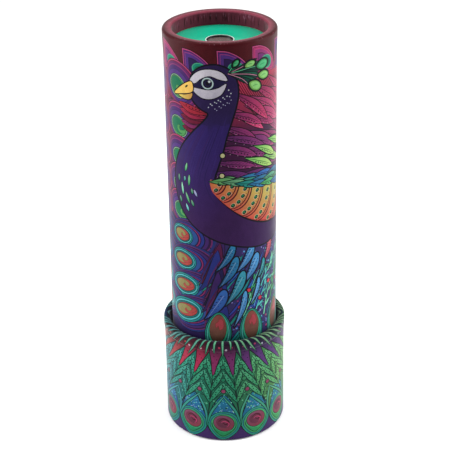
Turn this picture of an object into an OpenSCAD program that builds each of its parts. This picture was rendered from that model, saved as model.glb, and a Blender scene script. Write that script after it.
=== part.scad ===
// Turning-sleeve kaleidoscope.
// A wound card tube holds a three-mirror prism behind an eye hole. A wider card sleeve
// turns around the tube's lower end and carries a closed chamber of loose beads.
// Origin: centre of the base ring's underside. +Z points up to the eyepiece.

/* [Tube] */
// Height from the underside of the base to the top of the eyepiece rim
total_h = 200; // [180:1:240]
// Outside diameter of the wrapped tube
tube_d = 50; // [47:0.5:60]
// Thickness of the tube's wound card
tube_card = 2.4; // [2:0.1:2.7]
// Thickness of the printed paper wrap on the tube and on the sleeve
wrap_t = 0.25; // [0.2:0.05:0.4]
// Radial width of the rolled eyepiece rim, without its swell
rim_w = 4; // [3.8:0.1:4.6]
// Rounding of both rims' top corners
rim_round = 1.2; // [0.8:0.1:1.5]
// How far the eyepiece rim swells past the tube's side
tube_lip = 0.25; // [0.1:0.05:0.4]

/* [Sleeve] */
// Height of the turning sleeve, base ring included
sleeve_h = 55.5; // [52:0.5:70]
// Thickness of the sleeve's wound card
sleeve_card = 2.4; // [2:0.1:3]
// Radial gap between the tube and the sleeve's printed mouth
mouth_gap = 1.1; // [0.8:0.1:1.6]
// How far the sleeve's rim swells past its side
sleeve_lip = 0.3; // [0.1:0.05:0.5]
// How far the base ring stands below the sleeve's wrap
base_stand = 0.3; // [0.2:0.1:0.8]

/* [Eyepiece] */
// Depth of the eyepiece disc below the top of the rim
recess_depth = 6.6; // [5:0.1:9]
// Clear diameter of the eye hole
eye_hole_d = 11.8; // [8:0.2:14]
// Thickness of the coloured eyepiece disc
eye_disc_t = 0.8; // [0.6:0.1:2]

/* [Mirrors] */
// Thickness of each mirror strip
mirror_t = 1.8; // [1.5:0.1:3]
// Thickness of the card jacket folded around the mirrors
jacket_t = 0.6; // [0.4:0.1:0.8]

/* [Bead chamber] */
// Height of the card ring that holds the chamber in from below
base_ring_t = 3; // [2:0.5:4]
// Thickness of the frosted diffuser disc
diffuser_t = 1.5; // [1:0.1:2]
// Free height inside the bead chamber
chamber_h = 7; // [6:0.5:9]
// Thickness of the clear disc that closes the chamber
cover_t = 1.2; // [1:0.1:1.5]
// Pieces of each kind in the chamber
beads_per_kind = 6; // [3:1:6]

/* [Fits] */
// Radial clearance of the felt ring on the tube
felt_gap = 0.06; // [0.03:0.01:0.1]
// Radial clearance of the collar in the sleeve
collar_gap = 0.1; // [0.05:0.01:0.1]
// Axial clearance at each end of the collar
end_gap = 0.3; // [0.2:0.05:0.5]

/* [Hidden] */
$fn = 96;

// Radii of the tube
tube_r = tube_d / 2;
tube_bore_r = tube_r - wrap_t - tube_card;
rim_bore_r = tube_r - rim_w;

// Radii of the sleeve
mouth_r = tube_r + mouth_gap;
sleeve_bore_r = mouth_r + wrap_t;
sleeve_r = sleeve_bore_r + sleeve_card + wrap_t;

// Heights of the chamber stack, from the base up
diffuser_z = base_ring_t;
chamber_z = diffuser_z + diffuser_t;
cover_z = chamber_z + chamber_h;
cover_ring_z = cover_z + cover_t;
cover_ring_t = 2;
tube_z = cover_ring_z + cover_ring_t + end_gap;

// Rings inside the sleeve
collar_h = 9;
stop_ring_z = tube_z + collar_h + end_gap;
stop_ring_h = 6;
inner_turn_h = 8;
felt_h = 7;
felt_z = sleeve_h - inner_turn_h - felt_h;
lip_band_h = 4.2;
lip_step_h = 1;
foot_round_r = 0.8;
chamber_wall_t = 2.35;
base_ring_w = 3.85;

// Eyepiece
flare_h = 12;
flare_top_h = 3;
eye_disc_top = total_h - recess_depth;
eye_disc_z = eye_disc_top - eye_disc_t;
bezel_barrel_t = 0.25;
bezel_flange_w = 0.45;
bezel_flange_h = 0.2;
eye_window_r = eye_hole_d / 2 + 3.4;
eye_window_t = 1.2;
eyepiece_ring_h = 3;
eyepiece_ring_w = 2;

// Mirror prism: an equilateral triangle, measured to its corners and to its sides
end_ring_t = 2;
end_window_t = 1.2;
prism_clear = 0.3;
prism_z = tube_z + end_ring_t + end_window_t + prism_clear;
prism_top = eye_disc_z - eyepiece_ring_h - 0.4;
prism_h = prism_top - prism_z;
prism_corner_r = tube_bore_r - 1.85;
mirror_back = prism_corner_r / 2 - jacket_t;
mirror_face = mirror_back - mirror_t;
prism_ring_t = 4;
prism_ring_inset = 1.5;

// Loose pieces in the chamber
bead_kinds = 7;
bead_count = bead_kinds * beads_per_kind;
bead_floor = chamber_z + 0.05;
bead_field_r = sleeve_bore_r - chamber_wall_t - 3.2;
golden_angle = 180 * (3 - sqrt(5));
round_bead_r = 2.2;
ring_bead_r = 1.5;
ring_bead_wire_r = 0.95;
bugle_r = 1.1;
bugle_len = 4.8;
star_r = 2.6;
sequin_t = 0.6;
gem_r = 2.3;
gem_crown = 0.9;
gem_pavilion = 1.7;
chip_r = 2.5;
chip_t = 1.5;
thread_hole_r = 0.5;

function polar(r, a) = [r * cos(a), r * sin(a)];
function bead_place(i) = polar(bead_field_r * sqrt((i + 0.5) / bead_count), i * golden_angle);
function star_points(r, n) = [for (k = [0:2 * n - 1]) polar(k % 2 == 0 ? r : r * 0.45, k * 180 / n)];

// Section of a wall whose top edge is a rim with round corners that swells outwards by lip.
module rimmed_wall(r_in, r_out, z_low, z_top, corner_r, lip, lip_low, lip_full) {
    r_rim = r_out + lip;
    z_corner = z_top - corner_r;
    polygon([
        [r_in, z_low], [r_out, z_low], [r_out, lip_low], [r_rim, lip_full], [r_rim, z_corner],
        [r_rim - corner_r, z_top], [r_in + corner_r, z_top], [r_in, z_corner]
    ]);
    for (r = [r_in + corner_r, r_rim - corner_r]) translate([r, z_corner]) circle(r = corner_r);
}

module tube_section(inset, z_low) {
    rimmed_wall(rim_bore_r + inset, tube_r - inset, z_low, total_h - inset, rim_round - inset,
        tube_lip, total_h - flare_h, total_h - flare_top_h);
}

module sleeve_section(inset) {
    foot_r = foot_round_r - inset;
    z_low = base_stand + inset;
    rimmed_wall(mouth_r + inset, sleeve_r - inset, z_low + foot_r, sleeve_h - inset,
        rim_round - inset, sleeve_lip, sleeve_h - lip_band_h - lip_step_h, sleeve_h - lip_band_h);
    translate([mouth_r + inset, z_low])
        square([sleeve_r - mouth_r - 2 * inset - foot_r, foot_r + 0.1]);
    translate([sleeve_r - inset - foot_r, z_low + foot_r]) circle(r = foot_r);
}

module ring(r_in, r_out, z, h) {
    translate([0, 0, z]) difference() {
        cylinder(r = r_out, h = h);
        translate([0, 0, -1]) cylinder(r = r_in, h = h + 2);
    }
}

module disc(r, z, h) {
    translate([0, 0, z]) cylinder(r = r, h = h);
}

// Equilateral triangle with one side facing -Y
module triangle(corner_r) {
    rotate(-30) circle(r = corner_r, $fn = 3);
}

module mirror_strip(turn) {
    w_back = mirror_back * sqrt(3);
    w_face = mirror_face * sqrt(3);
    translate([0, 0, prism_z]) rotate([0, 0, turn]) linear_extrude(prism_h)
        polygon([
            [-w_back, -mirror_back], [w_back, -mirror_back],
            [w_face, -mirror_face], [-w_face, -mirror_face]
        ]);
}

module prism_ring(z) {
    translate([0, 0, z]) difference() {
        cylinder(r = tube_bore_r, h = prism_ring_t);
        translate([0, 0, -1]) linear_extrude(prism_ring_t + 2) triangle(prism_corner_r);
    }
}

// Puts one child at the places of one kind of loose piece, each turned its own way.
module scatter(kind) {
    for (i = [kind:bead_kinds:bead_count - 1]) {
        translate([bead_place(i)[0], bead_place(i)[1], bead_floor])
            rotate([0, 0, i * 73]) children();
    }
}

// ---- Tube ----

module tube_core() {
    color("tan") rotate_extrude() difference() {
        tube_section(wrap_t, tube_z);
        translate([0, tube_z - 1]) square([tube_bore_r, total_h]);
    }
}

module tube_wrap() {
    color("indigo") rotate_extrude() difference() {
        tube_section(0, tube_z);
        tube_section(wrap_t, tube_z - 1);
        translate([0, tube_z - 1]) square([tube_bore_r, eye_disc_top + 0.2 - tube_z + 1]);
    }
}

module rim_liner() {
    color("tan") rotate_extrude() intersection() {
        tube_section(wrap_t, tube_z);
        translate([0, eye_disc_top]) square([tube_bore_r, total_h]);
    }
}

module eyepiece_disc() {
    color("mediumseagreen")
        ring(eye_hole_d / 2 + bezel_barrel_t, tube_bore_r, eye_disc_z, eye_disc_t);
}

module eye_bezel() {
    color("lightgray") union() {
        ring(eye_hole_d / 2, eye_hole_d / 2 + bezel_barrel_t, eye_disc_z, eye_disc_t);
        ring(eye_hole_d / 2, eye_hole_d / 2 + bezel_flange_w, eye_disc_top, bezel_flange_h);
    }
}

module eye_window() {
    color("lightcyan") disc(eye_window_r, eye_disc_z - eye_window_t, eye_window_t);
}

module eyepiece_ring() {
    color("tan") ring(tube_bore_r - eyepiece_ring_w, tube_bore_r,
        eye_disc_z - eyepiece_ring_h, eyepiece_ring_h);
}

module mirror_front() {
    color("silver") mirror_strip(0);
}

module mirror_right() {
    color("silver") mirror_strip(120);
}

module mirror_left() {
    color("silver") mirror_strip(240);
}

module mirror_jacket() {
    color("dimgray") translate([0, 0, prism_z]) linear_extrude(prism_h) difference() {
        triangle(prism_corner_r);
        triangle(prism_corner_r - 2 * jacket_t);
    }
}

module upper_prism_ring() {
    color("tan") prism_ring(prism_top - prism_ring_inset - prism_ring_t);
}

module lower_prism_ring() {
    color("tan") prism_ring(prism_z + prism_ring_inset);
}

module end_window() {
    color("lightcyan") disc(tube_bore_r, tube_z + end_ring_t, end_window_t);
}

module end_window_ring() {
    color("tan") ring(tube_bore_r - 2.5, tube_bore_r, tube_z, end_ring_t);
}

module tube_collar() {
    color("tan") ring(tube_r, sleeve_bore_r - collar_gap, tube_z, collar_h);
}

// ---- Sleeve ----

module sleeve_core() {
    color("tan") rotate_extrude() sleeve_section(wrap_t);
}

module sleeve_wrap() {
    color("seagreen") rotate_extrude() difference() {
        sleeve_section(0);
        sleeve_section(wrap_t);
        square([sleeve_bore_r, sleeve_h - inner_turn_h]);
    }
}

module stop_ring() {
    color("tan") ring(tube_r + end_gap, sleeve_bore_r, stop_ring_z, stop_ring_h);
}

module felt_ring() {
    color("dimgray") ring(tube_r + felt_gap, sleeve_bore_r, felt_z, felt_h);
}

module cover_ring() {
    color("tan") ring(sleeve_bore_r - 2.8, sleeve_bore_r, cover_ring_z, cover_ring_t);
}

module chamber_cover() {
    color("lightcyan") disc(sleeve_bore_r, cover_z, cover_t);
}

module chamber_wall() {
    color("white") ring(sleeve_bore_r - chamber_wall_t, sleeve_bore_r, chamber_z, chamber_h);
}

module diffuser_disc() {
    color("whitesmoke") disc(sleeve_bore_r, diffuser_z, diffuser_t);
}

module base_ring() {
    color("burlywood") ring(sleeve_bore_r - base_ring_w, sleeve_bore_r, 0, base_ring_t);
}

// ---- Loose pieces in the chamber ----

module round_beads() {
    color("crimson") scatter(0) translate([0, 0, round_bead_r]) difference() {
        sphere(r = round_bead_r, $fn = 48);
        rotate([90, 0, 0]) cylinder(r = thread_hole_r, h = 3 * round_bead_r, center = true);
    }
}

module ring_beads() {
    color("gold") scatter(1) translate([0, 0, ring_bead_wire_r]) rotate_extrude()
        translate([ring_bead_r, 0]) circle(r = ring_bead_wire_r);
}

module bugle_beads() {
    color("dodgerblue") scatter(2) translate([0, 0, bugle_r]) rotate([0, 90, 0]) difference() {
        cylinder(r = bugle_r, h = bugle_len, center = true);
        cylinder(r = thread_hole_r, h = bugle_len + 2, center = true);
    }
}

module star_sequins() {
    color("hotpink") scatter(3) linear_extrude(sequin_t) polygon(star_points(star_r, 5));
}

// A petal is the part that two equal round discs share.
module petal_sequins() {
    petal_r = 2.4;
    petal_shift = 1.2;
    color("limegreen") scatter(4) intersection() {
        translate([petal_shift, 0, 0]) cylinder(r = petal_r, h = sequin_t);
        translate([-petal_shift, 0, 0]) cylinder(r = petal_r, h = sequin_t);
    }
}

module cut_gems() {
    color("mediumorchid") scatter(5) rotate_extrude($fn = 8) polygon([
        [0, 0], [gem_r, gem_pavilion], [gem_r * 0.6, gem_pavilion + gem_crown],
        [0, gem_pavilion + gem_crown]
    ]);
}

module prism_chips() {
    color("darkorange") scatter(6) cylinder(r = chip_r, h = chip_t, $fn = 3);
}

tube_core();
tube_wrap();
rim_liner();
eyepiece_disc();
eye_bezel();
eye_window();
eyepiece_ring();
mirror_front();
mirror_left();
mirror_right();
mirror_jacket();
upper_prism_ring();
lower_prism_ring();
end_window();
end_window_ring();
tube_collar();
sleeve_core();
sleeve_wrap();
stop_ring();
felt_ring();
cover_ring();
chamber_cover();
chamber_wall();
diffuser_disc();
base_ring();
round_beads();
ring_beads();
bugle_beads();
star_sequins();
petal_sequins();
cut_gems();
prism_chips();
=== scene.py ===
"""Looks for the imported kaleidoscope.

The two printed paper wraps are made here: flat vector art is drawn on an unrolled sheet in
millimetres, cut into triangles, and rolled round the tube and the sleeve. The other visible
parts get procedural materials.
"""
import random
from bisect import bisect
from math import atan2, cos, degrees, hypot, inf, log, pi, radians, sin, sqrt

import bpy
from mathutils import Matrix, Vector
from mathutils.bvhtree import BVHTree
from mathutils.geometry import delaunay_2d_cdt


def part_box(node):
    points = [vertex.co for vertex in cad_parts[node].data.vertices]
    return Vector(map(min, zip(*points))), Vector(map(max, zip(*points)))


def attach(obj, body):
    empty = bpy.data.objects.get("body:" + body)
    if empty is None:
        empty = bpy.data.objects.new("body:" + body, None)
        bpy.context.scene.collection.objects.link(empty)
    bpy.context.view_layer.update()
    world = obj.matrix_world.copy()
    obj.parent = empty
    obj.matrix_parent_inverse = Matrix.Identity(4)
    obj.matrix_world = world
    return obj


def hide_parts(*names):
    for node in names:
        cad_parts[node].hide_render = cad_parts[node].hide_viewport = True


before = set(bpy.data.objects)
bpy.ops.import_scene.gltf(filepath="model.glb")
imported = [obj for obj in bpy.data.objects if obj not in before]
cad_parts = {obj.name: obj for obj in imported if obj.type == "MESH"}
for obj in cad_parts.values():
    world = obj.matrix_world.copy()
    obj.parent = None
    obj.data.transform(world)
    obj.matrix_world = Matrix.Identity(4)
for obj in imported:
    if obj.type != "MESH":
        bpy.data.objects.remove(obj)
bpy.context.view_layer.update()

MM = 0.001
TAU = 2 * pi
rng = random.Random(7)

# ---- sizes, in mm


def node_r(node):
    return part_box(node)[1].x / MM


def node_z(node):
    low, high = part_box(node)
    return low.z / MM, high.z / MM


WRAP_T = 0.25
RIM_ROUND = 1.2
TUBE_R = 25.0
TUBE_LOW, TUBE_TOP = node_z("tube_wrap")
TUBE_RIM_R = node_r("tube_wrap")
RIM_BORE_R = 21.0
FLARE_LOW, FLARE_HIGH = TUBE_TOP - 12.0, TUBE_TOP - 3.0
TUBE_STRIP_END = node_z("eyepiece_disc")[1] + 0.2
BEZEL_FLANGE_W = 0.45
SLEEVE_LOW, SLEEVE_TOP = node_z("sleeve_wrap")
SLEEVE_RIM_R = node_r("sleeve_wrap")
SLEEVE_R = 29.0
FOOT_ROUND = 0.8
FOOT_TUCK = 2.0  # below the foot's line on the flat sheet
FOOT_REACH = 1.85  # inwards from the foot's round
LIP_LOW, LIP_HIGH = SLEEVE_TOP - 5.2, SLEEVE_TOP - 4.2
MOUTH_R = 26.1
SLEEVE_STRIP_END = node_z("felt_ring")[1]

# how finely a wrap is cut round and along, and how near counts as the same place
COLUMNS = 112
ROW_STEP = 6
NEAR = 1e-3
FIRST_WELD, SECOND_WELD = 1e-5, 1e-6

# the smallest outline that is drawn, in square mm
SPECK = 0.004

# where the printed side and the lining lie on the UV square
UV_EDGE = 0.005
PRINT_V = 0.95
LINING_LOW_V, LINING_V = 0.96, 0.035


# ---- colours


def rgb(text):
    """Linear colour from an sRGB hex string."""
    parts = [int(text[i:i + 2], 16) / 255 for i in (0, 2, 4)]
    return tuple(c / 12.92 if c <= 0.04045 else ((c + 0.055) / 1.055) ** 2.4 for c in parts)


def mix(a, b, t):
    t = min(1.0, max(0.0, t))
    return tuple(x + (y - x) * t for x, y in zip(a, b))


INK = rgb("0d0a18")
NAVY = rgb("201c4c")
PLUM = rgb("341a48")
MAROON = rgb("480c16")
WINE = rgb("6e1438")
PURPLE = rgb("4c2468")
VIOLET = rgb("4c367c")
MAGENTA = rgb("802c64")
PINK = rgb("a84270")
CRIMSON = rgb("b42850")
RED = rgb("b82a38")
CORAL = rgb("b44e40")
ORANGE = rgb("b47840")
GOLD = rgb("dcb85c")
STRAW = rgb("a49c4e")
LIME = rgb("7cac50")
LEAF = rgb("34985a")
GREEN = rgb("087450")
PINE = rgb("0c3c34")
TEAL = rgb("128286")
AQUA = rgb("54b0b0")
SKY = rgb("4e92c0")
BLUE = rgb("2456a2")
COBALT = rgb("2a3c90")
MINT = rgb("78c6a4")
PALE = rgb("bcc4c0")
LILAC = rgb("9088c0")
OLIVE = rgb("8c8c4a")
PAPER = rgb("e8e2d6")
SHADE = mix(INK, PINE, 0.6)


def blend(c0, c1, p0, p1):
    """A fill that runs from c0 at p0 to c1 at p1."""
    dx, dy = p1[0] - p0[0], p1[1] - p0[1]
    span = dx * dx + dy * dy
    return lambda x, y: mix(c0, c1, ((x - p0[0]) * dx + (y - p0[1]) * dy) / span)


# ---- outlines, as lists of points


def vary(by):
    return rng.uniform(-by, by)


def turned(points, angle, at=(0, 0)):
    c, s = cos(radians(angle)), sin(radians(angle))
    return [(at[0] + x * c - y * s, at[1] + x * s + y * c) for x, y in points]


def beyond(x, y, angle, length):
    """The point at a distance in a direction given in degrees."""
    a = radians(angle)
    return x + length * cos(a), y + length * sin(a)


def oval(x, y, rx, ry, angle=0, n=28):
    ring = [(rx * cos(TAU * i / n), ry * sin(TAU * i / n)) for i in range(n)]
    return turned(ring, angle, (x, y))


def egg(x, y, rx, ry, angle=0, point=0.35, n=32):
    """An oval whose +y end narrows."""
    ring = []
    for i in range(n):
        c, s = cos(TAU * i / n), sin(TAU * i / n)
        ring.append((rx * c * (1 - point * max(0, s) ** 1.5), ry * s))
    return turned(ring, angle, (x, y))


def blade(x0, y0, x1, y1, spans, bend):
    """An outline about a bent rib. spans gives (way along, half width) from end to end."""
    length = hypot(x1 - x0, y1 - y0)
    rib = [(t * length, bend * sin(pi * t), w) for t, w in spans]
    low = [(x, y - w) for x, y, w in rib]
    high = [(x, y + w) for x, y, w in rib]
    return turned(low + high[-2:0:-1], degrees(atan2(y1 - y0, x1 - x0)), (x0, y0))


def leaf(x0, y0, x1, y1, width, bend=0.0, belly=0.5, n=12):
    """A pointed leaf from one point to another. belly says where it is widest."""
    power = log(0.5) / log(belly)
    steps = [i / n for i in range(n + 1)]
    spans = [(t, sin(pi * t ** power) ** 0.85 * width / 2) for t in steps]
    return blade(x0, y0, x1, y1, spans, bend)


def drop(x0, y0, x1, y1, width, bend=0.0, n=14):
    """A teardrop: pointed at the first point, round at the second."""
    spans = []
    for i in range(n + 1):
        t = (1 - cos(pi * i / n)) / 2
        spans.append((t, sin(pi * i / n) * t ** 0.75 * width * 0.62))
    return blade(x0, y0, x1, y1, spans, bend)


def curve(points, n=6, closed=False):
    """A smooth line through the points (Catmull-Rom)."""
    count = len(points)
    out = []
    for i in range(count if closed else count - 1):
        near = range(i - 1, i + 3)
        p = [points[k % count if closed else min(max(k, 0), count - 1)] for k in near]
        for j in range(n):
            t = j / n
            out.append(tuple(
                0.5 * (2 * b + (c - a) * t + (2 * a - 5 * b + 4 * c - d) * t * t
                       + (3 * b - a - 3 * c + d) * t * t * t)
                for a, b, c, d in zip(*p)))
    return out if closed else [*out, tuple(points[-1])]


def sweep(start, end, n=10):
    """A quarter oval that leaves the start straight down and reaches the end level."""
    steps = [pi / 2 * i / n for i in range(n + 1)]
    return [(end[0] + (start[0] - end[0]) * cos(a), start[1] + (end[1] - start[1]) * sin(a))
            for a in steps]


def normals(points, closed):
    """Unit normals, on the right of the line."""
    count = len(points)
    out = []
    for i in range(count):
        a = points[i - 1 if closed or i else 0]
        b = points[(i + 1) % count if closed else min(i + 1, count - 1)]
        dx, dy = b[0] - a[0], b[1] - a[1]
        length = hypot(dx, dy) or 1.0
        out.append((dy / length, -dx / length))
    return out


def area(points):
    return sum(a[0] * b[1] - b[0] * a[1] for a, b in zip(points, points[1:] + points[:1])) / 2


def grow(points, by):
    """The closed outline moved outwards, or inwards where by is negative."""
    by = by if area(points) > 0 else -by
    return [(x + nx * by, y + ny * by) for (x, y), (nx, ny) in zip(points, normals(points, True))]


def line(points, w0, w1=None, middle=None):
    """A stroke along the points, from width w0 to w1, and middle half way if it is given."""
    w1 = w0 if w1 is None else w1
    swell = 0 if middle is None else middle - (w0 + w1) / 2
    left, right = [], []
    for i, ((x, y), (nx, ny)) in enumerate(zip(points, normals(points, False))):
        t = i / (len(points) - 1)
        half = (w0 + (w1 - w0) * t + swell * sin(pi * t)) / 2
        left.append((x + nx * half, y + ny * half))
        right.append((x - nx * half, y - ny * half))
    return left + right[::-1]


def along(points, t):
    """The point and direction in degrees at fraction t of a line."""
    at = t * (len(points) - 1)
    i = min(int(at), len(points) - 2)
    a, b = points[i], points[i + 1]
    f = at - i
    place = (a[0] + (b[0] - a[0]) * f, a[1] + (b[1] - a[1]) * f)
    return place, degrees(atan2(b[1] - a[1], b[0] - a[0]))


# ---- the sheet


def flipped(fill, mirror_x):
    return (lambda x, y: fill(2 * mirror_x - x, y)) if callable(fill) else fill


def cut(points, axis, limit, keep):
    """The part of an outline on one side of a line."""
    out = []
    for a, b in zip(points, points[1:] + points[:1]):
        da, db = (a[axis] - limit) * keep, (b[axis] - limit) * keep
        if da >= 0:
            out.append(a)
        if (da >= 0) != (db >= 0):
            t = da / (da - db)
            out.append(tuple(u + (v - u) * t for u, v in zip(a, b)))
    return out


class Sheet:
    """Filled outlines on an unrolled wrap. The last one added lies on top."""

    def __init__(self, x_low, x_high, y_low, y_high, ground):
        self.box = (x_low, x_high, y_low, y_high)
        self.ground = ground
        self.shapes = []

    def add(self, points, fill):
        for side, limit in enumerate(self.box):
            points = cut(points, side // 2, limit, -1 if side % 2 else 1)
            if len(points) < 3:
                return
        size = area(points)
        if abs(size) >= SPECK:
            self.shapes.append((points if size > 0 else points[::-1], fill))

    def inked(self, points, fill, edge=0.35, edge_fill=INK):
        self.add(grow(points, edge), edge_fill)
        self.add(points, fill)

    def stroke(self, points, fill, *widths):
        self.add(line(points, *widths), fill)

    def dot(self, x, y, r, fill, n=8):
        self.add(oval(x, y, r, r, 0, n), fill)

    def ringed(self, x, y, r, fill, rim, n=12):
        self.dot(x, y, r * 1.45, rim, n)
        self.dot(x, y, r, fill, n)

    def take(self, other, mirror_x=None):
        """Adds another sheet's shapes, turned over about a line where one is given."""
        for points, fill in other.shapes:
            if mirror_x is not None:
                points = [(2 * mirror_x - x, y) for x, y in points]
                fill = flipped(fill, mirror_x)
            self.add(points, fill)


# ---- rolling a sheet


def at_station(profile, y):
    """(r, z, normal r, normal z) at y on the profile."""
    i = min(max(bisect(profile, (y, inf)), 1), len(profile) - 1)
    a, b = profile[i - 1], profile[i]
    r, z, nr, nz = mix(a[1:], b[1:], (y - a[0]) / (b[0] - a[0]))
    length = hypot(nr, nz)
    return r, z, nr / length, nz / length


def profile_rows(profile):
    rows = [p[0] for p in profile]
    for a, b in zip(profile, profile[1:]):
        extra = int((b[0] - a[0]) / ROW_STEP)
        rows += [a[0] + (b[0] - a[0]) * (i + 1) / (extra + 1) for i in range(extra)]
    return sorted(rows)


def triangulate(sheet, rows):
    """Cuts the sheet along its outlines, columns and rows. Returns corners, triangles and fills."""
    x_low, x_high, y_low, y_high = sheet.box
    points, edges, faces = [], [], []
    for outline, _ in sheet.shapes:
        faces.append(list(range(len(points), len(points) + len(outline))))
        points.extend(Vector(p) for p in outline)
    columns = [x_low + (x_high - x_low) * i / COLUMNS for i in range(COLUMNS + 1)]
    walls = [((x, y_low), (x, y_high)) for x in columns]
    walls += [((x_low, y), (x_high, y)) for y in rows]
    for start, end in walls:
        edges.append((len(points), len(points) + 1))
        points += [Vector(start), Vector(end)]
    made = delaunay_2d_cdt(points, edges, faces, 0, FIRST_WELD, True)
    corners, triangles, owners = made[0], made[2], made[5]
    owners = [max(o, default=-1) for o in owners]
    corners, triangles, owners = seen_only(corners, triangles, owners, sheet, rows)
    fills = [sheet.shapes[o][1] if o >= 0 else sheet.ground for o in owners]
    return corners, triangles, fills


def seen_only(corners, triangles, owners, sheet, rows):
    """The same picture without the outlines that lie hidden under later shapes."""
    x_low, x_high = sheet.box[:2]
    places = [(c.x - x_low) / ((x_high - x_low) / COLUMNS) for c in corners]
    on_column = [round(p) if abs(p - round(p)) < NEAR else None for p in places]
    row_of = {round(y, 3): i for i, y in enumerate(rows)}
    on_row = [row_of.get(round(c.y, 3)) for c in corners]
    sides = {}
    for tri, owner in zip(triangles, owners):
        for a, b in zip(tri, (tri[1], tri[2], tri[0])):
            sides.setdefault((min(a, b), max(a, b)), []).append(owner)
    kept, used = [], {}
    for (a, b), beside in sides.items():
        wall = any(on[a] is not None and on[a] == on[b] for on in (on_column, on_row))
        if wall or len(beside) == 1 or beside[0] != beside[1]:
            kept.append((used.setdefault(a, len(used)), used.setdefault(b, len(used))))
    points = [corners[i] for i in used]
    made = delaunay_2d_cdt(points, kept, [], 0, SECOND_WELD, False)
    new_corners, new_triangles = made[0], made[2]
    tree = BVHTree.FromPolygons([(c.x, c.y, 0) for c in corners], triangles)
    below = Vector((0, 0, -1))
    new_owners = []
    for a, b, c in new_triangles:
        middle = (new_corners[a] + new_corners[b] + new_corners[c]) / 3
        hit = tree.ray_cast(Vector((middle.x, middle.y, 1)), below)[2]
        new_owners.append(owners[hit] if hit is not None else -1)
    return new_corners, new_triangles, new_owners


def around(angle, r, z):
    """A point or a direction at an angle round the axis, from the front to the right."""
    return r * sin(angle), -r * cos(angle), z


class Shell:
    """A mesh in the making, with a normal, a UV and a colour for each corner of a face."""

    def __init__(self):
        self.verts, self.faces, self.normals, self.uvs, self.colours = [], [], [], [], []

    def vert(self, angle, r, z):
        self.verts.append(tuple(v * MM for v in around(angle, r, z)))
        return len(self.verts) - 1

    def corner(self, normal, u, v, colour):
        """u runs from 0 to 1 round the paper, and v is a height on the UV square."""
        self.normals.append(normal)
        self.uvs.extend((UV_EDGE + (1 - 2 * UV_EDGE) * u, v))
        self.colours.extend((*colour, 1.0))

    def build(self, name):
        mesh = bpy.data.meshes.new(name)
        mesh.from_pydata(self.verts, [], self.faces)
        mesh.polygons.foreach_set("use_smooth", [True] * len(mesh.polygons))
        mesh.uv_layers.new(name="OFBake").data.foreach_set("uv", self.uvs)
        art = mesh.color_attributes.new("print", "FLOAT_COLOR", "CORNER")
        art.data.foreach_set("color", self.colours)
        mesh.normals_split_custom_set(self.normals)
        obj = bpy.data.objects.new(name, mesh)
        bpy.context.scene.collection.objects.link(obj)
        return obj


def roll(name, sheet, profile, circle_r):
    """A closed paper shell with the sheet's art on its outer side."""
    x_low, x_high, y_low, y_high = sheet.box
    corners, triangles, fills = triangulate(sheet, profile_rows(profile))
    shell = Shell()
    normal_of, index, seam = [], [], {}
    for c in corners:
        height = round(c.y, 2)
        if c.x > x_high - NEAR and height in seam:
            index.append(seam[height])
            continue
        r, z, nr, nz = at_station(profile, c.y)
        a = c.x / circle_r
        index.append(shell.vert(a, r, z))
        normal_of.append(around(a, nr, nz))
        if c.x < x_low + NEAR:
            seam[height] = index[-1]
    for tri, fill in zip(triangles, fills):
        ids = [index[i] for i in tri]
        if len(set(ids)) < 3:
            continue
        shell.faces.append(ids)
        for i in tri:
            x, y = corners[i].x, corners[i].y
            u, v = (x - x_low) / (x_high - x_low), (y - y_low) / (y_high - y_low)
            colour = fill(x, y) if callable(fill) else fill
            shell.corner(normal_of[index[i]], u, UV_EDGE + PRINT_V * v, colour)
    ends = []
    for end in (y_low, y_high):
        edge = {}
        for c, i in zip(corners, index):
            column = (c.x - x_low) / (x_high - x_low) * COLUMNS
            if abs(c.y - end) < NEAR and abs(column - round(column)) < NEAR:
                edge[round(column) % COLUMNS] = i
        ends.append([(edge[j], (0, 0, -1)) for j in range(COLUMNS)])
    add_lining(shell, sheet, profile, circle_r, ends)
    return shell.build(name)


def add_lining(shell, sheet, profile, circle_r, ends):
    """The unprinted inner side of the paper, joined to the printed side along both edges."""
    x_low, x_high = sheet.box[:2]
    bands = [ends[0]]
    for _, r, z, nr, nz in profile:
        ring = []
        for j in range(COLUMNS):
            a = (x_low + (x_high - x_low) * j / COLUMNS) / circle_r
            ring.append((shell.vert(a, r - WRAP_T * nr, z - WRAP_T * nz), around(a, -nr, -nz)))
        bands.append(ring)
    bands.append(ends[1])
    for k, (a, b) in enumerate(zip(bands, bands[1:])):
        for j in range(COLUMNS):
            n = (j + 1) % COLUMNS
            shell.faces.append([a[j][0], b[j][0], b[n][0], a[n][0]])
            for (_, normal), du, dv in ((a[j], 0, 0), (b[j], 0, 1), (b[n], 1, 1), (a[n], 1, 0)):
                v = LINING_LOW_V + LINING_V * (k + dv) / len(bands)
                shell.corner(normal, (j + du) / COLUMNS, v, PAPER)


# ---- motifs


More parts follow.
